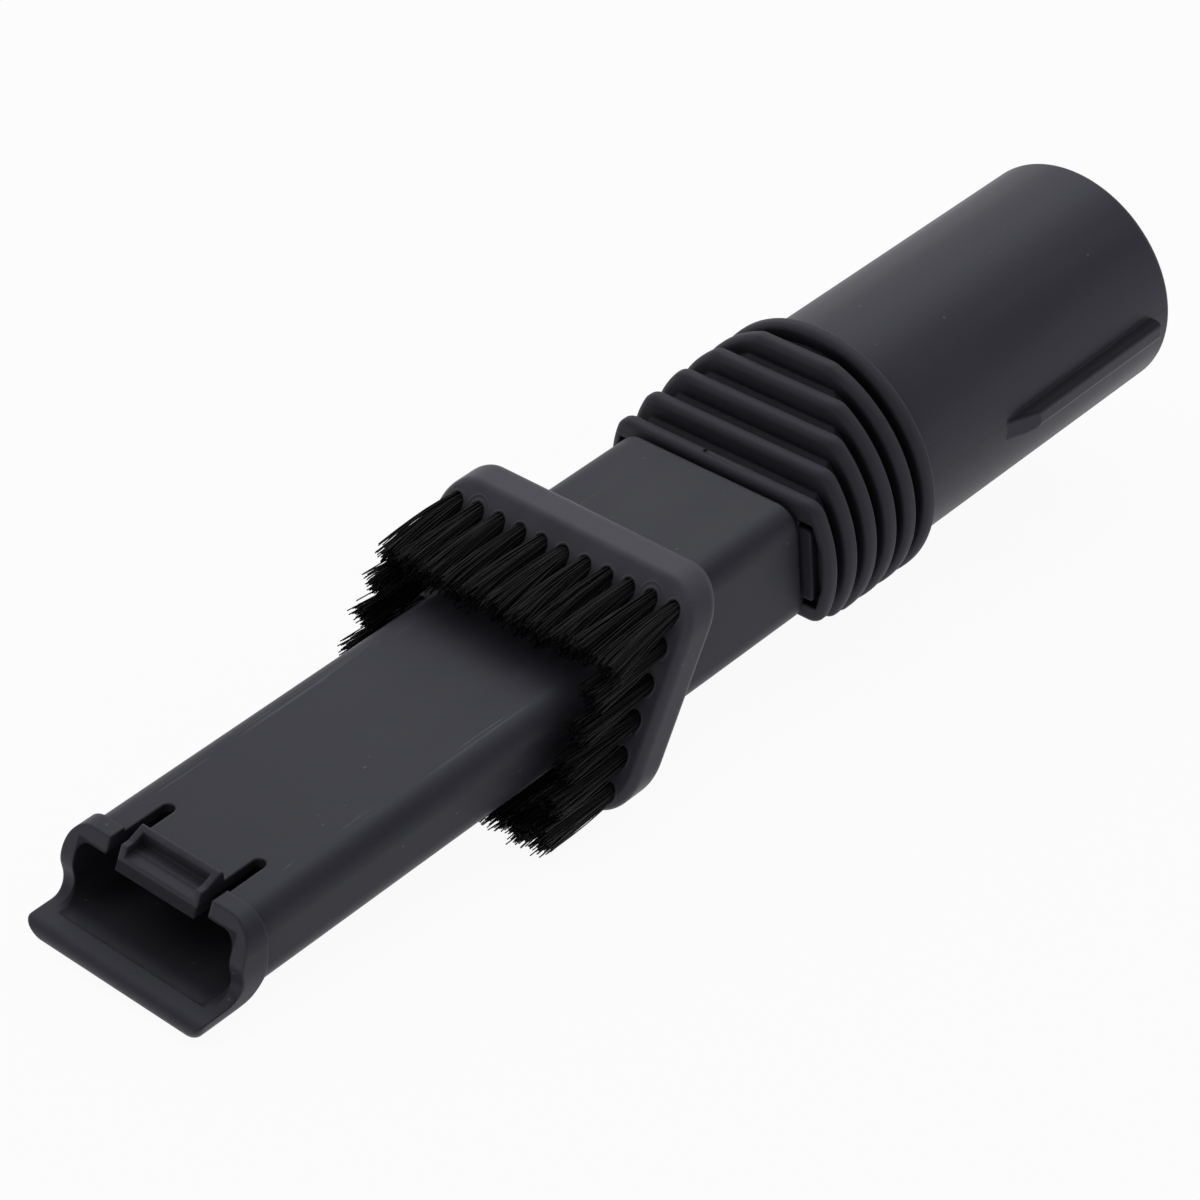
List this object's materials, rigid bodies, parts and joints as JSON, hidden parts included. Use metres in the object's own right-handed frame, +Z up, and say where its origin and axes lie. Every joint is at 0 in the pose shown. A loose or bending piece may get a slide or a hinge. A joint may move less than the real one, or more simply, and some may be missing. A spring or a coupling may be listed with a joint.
{
  "type": "vacuum crevice tool",
  "caption": "Flat crevice nozzle with a scooped mouth, a slanted bristle collar that slides along it, a ribbed bellows and a round socket for the wand",
  "frame": {"origin": "centre of the socket's rim, where the wand enters", "axes": "+X along the air way out of the socket, -X towards the mouth, +Z up, with the snap tongue on top"},
  "size_m": [0.2053, 0.0498, 0.0432],
  "materials": {
    "shell": "satin",
    "soft_sleeve": "matte",
    "bristle": "matte"
  },
  "bodies": {
    "tool": {"nozzle": "shell", "bellows": "soft_sleeve", "wand_socket": "shell"},
    "brush": {"brush_collar": "shell", "bristle_tuft_01": "bristle", "bristle_tuft_02": "bristle", "bristle_tuft_03": "bristle", "bristle_tuft_04": "bristle", "bristle_tuft_05": "bristle", "bristle_tuft_06": "bristle", "bristle_tuft_07": "bristle", "bristle_tuft_08": "bristle", "bristle_tuft_09": "bristle", "bristle_tuft_10": "bristle", "bristle_tuft_11": "bristle", "bristle_tuft_12": "bristle", "bristle_tuft_13": "bristle", "bristle_tuft_14": "bristle", "bristle_tuft_15": "bristle", "bristle_tuft_16": "bristle", "bristle_tuft_17": "bristle", "bristle_tuft_18": "bristle", "bristle_tuft_19": "bristle", "bristle_tuft_20": "bristle", "bristle_tuft_21": "bristle", "bristle_tuft_22": "bristle", "bristle_tuft_23": "bristle", "bristle_tuft_24": "bristle", "bristle_tuft_25": "bristle", "bristle_tuft_26": "bristle", "bristle_tuft_27": "bristle", "bristle_tuft_28": "bristle", "bristle_tuft_29": "bristle", "bristle_tuft_30": "bristle"}
  },
  "joints": [
    {"name": "brush_slide", "type": "slide", "parent": "tool", "child": "brush", "axis": [-1, 0, 0], "range_m": [0, 0.0686]}
  ]
}
